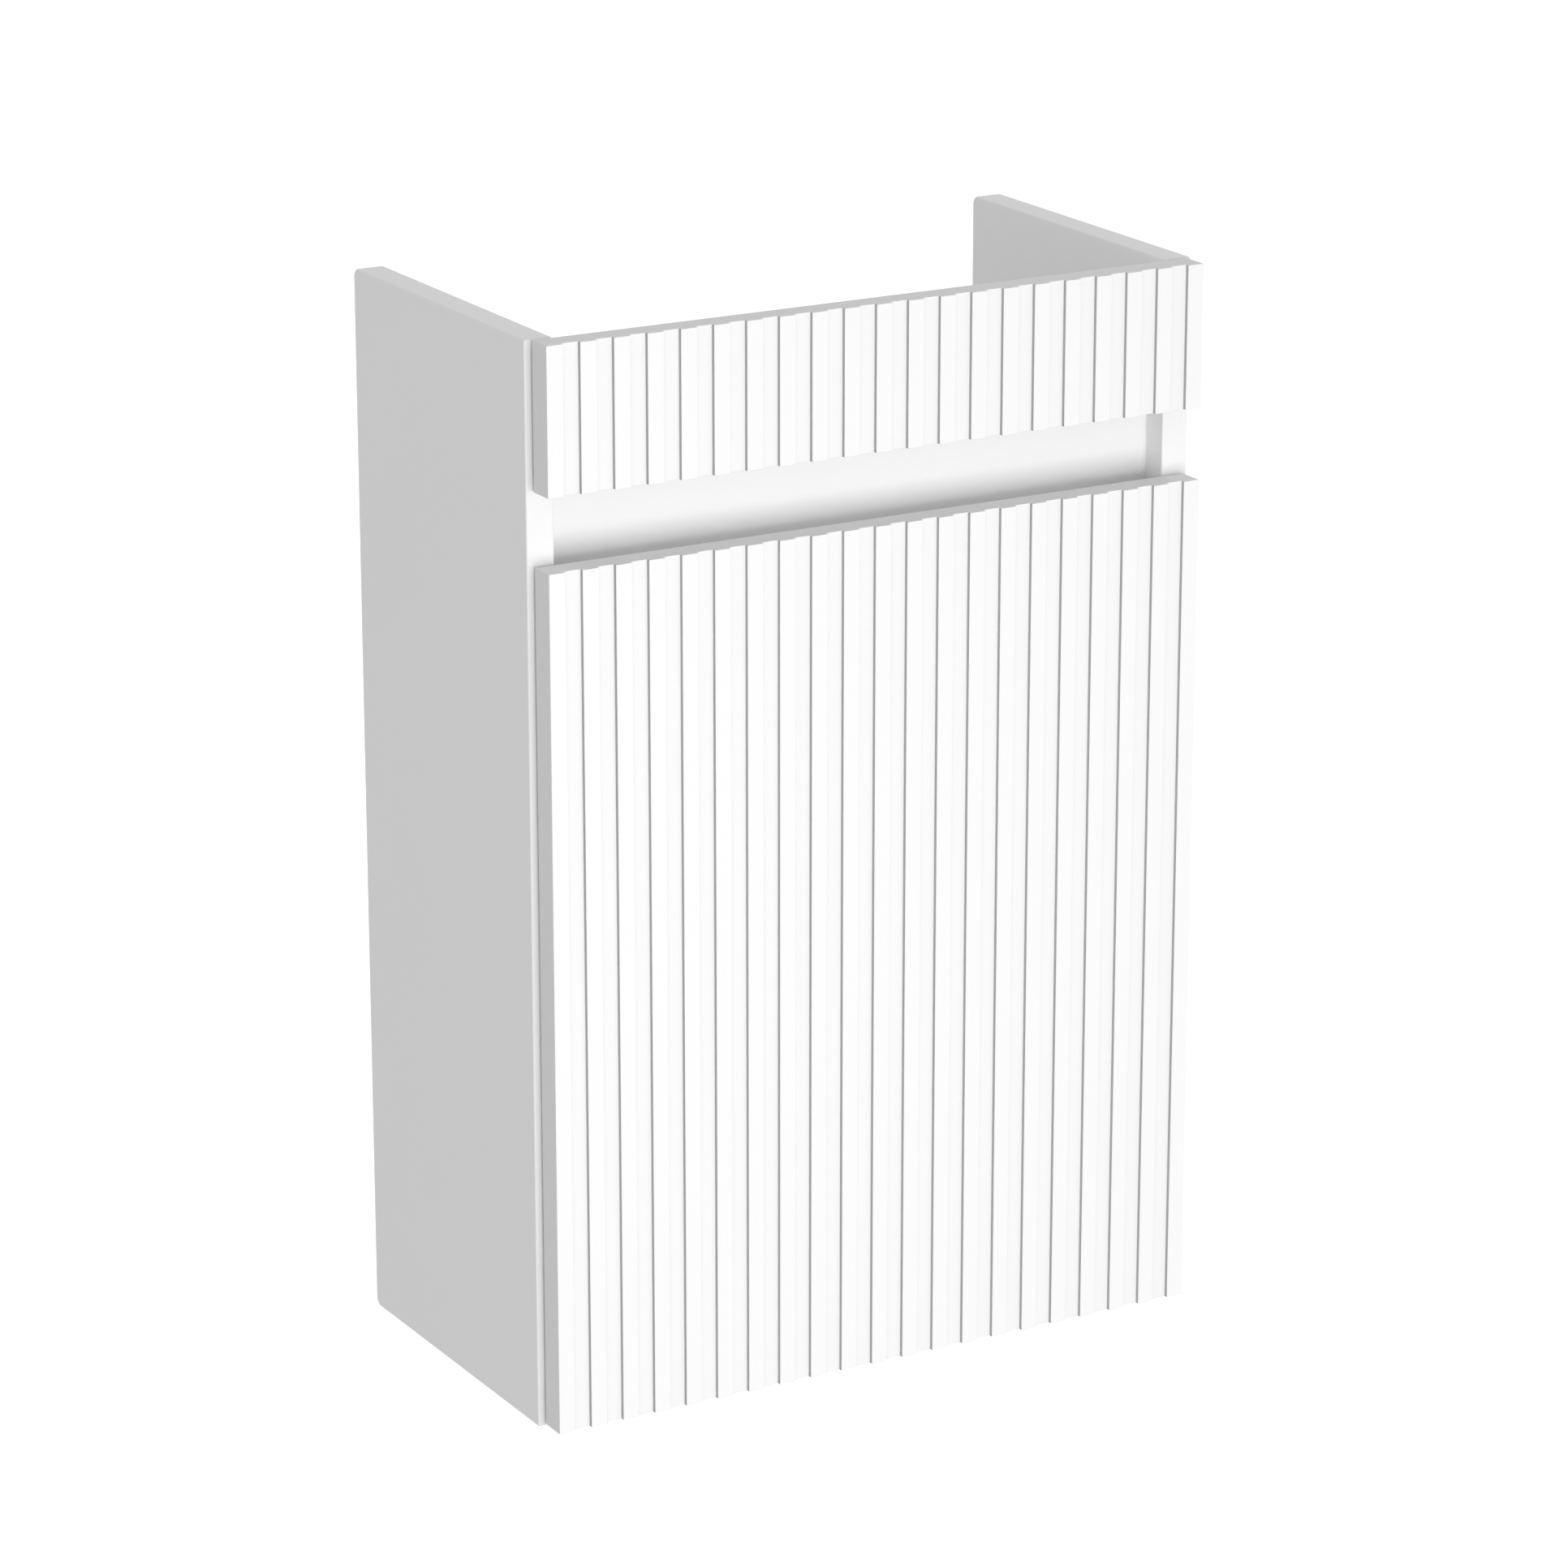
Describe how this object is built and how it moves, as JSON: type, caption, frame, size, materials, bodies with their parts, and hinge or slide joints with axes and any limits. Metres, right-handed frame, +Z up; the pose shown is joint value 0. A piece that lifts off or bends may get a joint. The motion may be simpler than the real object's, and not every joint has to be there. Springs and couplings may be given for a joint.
{
  "type": "wall-hung bathroom cabinet",
  "caption": "Narrow white wall-hung basin cabinet with a fluted door under a fixed fluted panel and a recessed finger channel, open at the top and back for a basin and its pipes.",
  "frame": {"origin": "on the wall plane at the cabinet's underside, midway between its side panels", "axes": "+Z up, +Y into the wall so that the door faces -Y, +X to the right seen from the front"},
  "size_m": [0.406, 0.218, 0.6],
  "materials": {
    "white_board": "white satin foil on fibreboard",
    "white_front": "white satin foil wrapped over milled fibreboard",
    "zinc_casting": "die-cast zinc",
    "zinc_screws": "zinc plated",
    "white_caps": "white moulded",
    "beech": "plain beech",
    "grey_spacers": "moulded",
    "clear_bumpers": "clear soft",
    "hinge_steel": "nickel plated, satin",
    "spring_steel": "bright hardened"
  },
  "bodies": {
    "cabinet": {"left_side_panel": "white_board", "right_side_panel": "white_board", "bottom_panel": "white_board", "lower_back_rail": "white_board", "hanging_rail": "white_board", "front_top_rail": "white_board", "channel_rail": "white_board", "fixed_front_panel": "white_front", "shelf": "white_board", "shelf_pins": "zinc_screws", "cam_nuts": "zinc_casting", "cam_bolts": "zinc_screws", "cam_caps": "white_caps", "dowels": "beech", "fixed_panel_spacers": "grey_spacers", "fixed_panel_screws": "zinc_screws", "door_bumpers": "clear_bumpers", "lower_hinge_arm": "hinge_steel", "lower_hinge_plate": "hinge_steel", "lower_hinge_spring": "spring_steel", "upper_hinge_arm": "hinge_steel", "upper_hinge_plate": "hinge_steel", "upper_hinge_spring": "spring_steel", "hinge_arm_pins": "spring_steel", "hinge_plate_screws": "zinc_screws", "hinge_adjust_screws": "zinc_screws"},
    "deep_links": {"lower_hinge_deep_link": "hinge_steel", "upper_hinge_deep_link": "hinge_steel"},
    "door": {"door": "white_front", "lower_hinge_cup": "hinge_steel", "upper_hinge_cup": "hinge_steel", "hinge_cup_screws": "zinc_screws", "hinge_cup_pins": "spring_steel"},
    "outer_links": {"lower_hinge_outer_link": "hinge_steel", "upper_hinge_outer_link": "hinge_steel"}
  },
  "joints": [
    {"name": "deep_link_turn", "type": "hinge", "parent": "cabinet", "child": "deep_links", "pos_m": [0.1635, -0.199, 0.24075], "axis": [0, 0, 1], "range_deg": [-16.3, 0]},
    {"name": "door_swing", "type": "hinge", "parent": "deep_links", "child": "door", "pos_m": [0.1899, -0.2081, 0.24075], "axis": [0, 0, 1], "range_deg": [0, 111.25]},
    {"name": "outer_link_turn", "type": "hinge", "parent": "door", "child": "outer_links", "pos_m": [0.19, -0.203, 0.24075], "axis": [0, 0, 1], "range_deg": [-127.4, 0]}
  ],
  "couplings": [
    {"joint": "deep_link_turn", "follows": "door_swing", "ratio": -0.14603},
    {"joint": "outer_link_turn", "follows": "door_swing", "ratio": -1.1443}
  ]
}
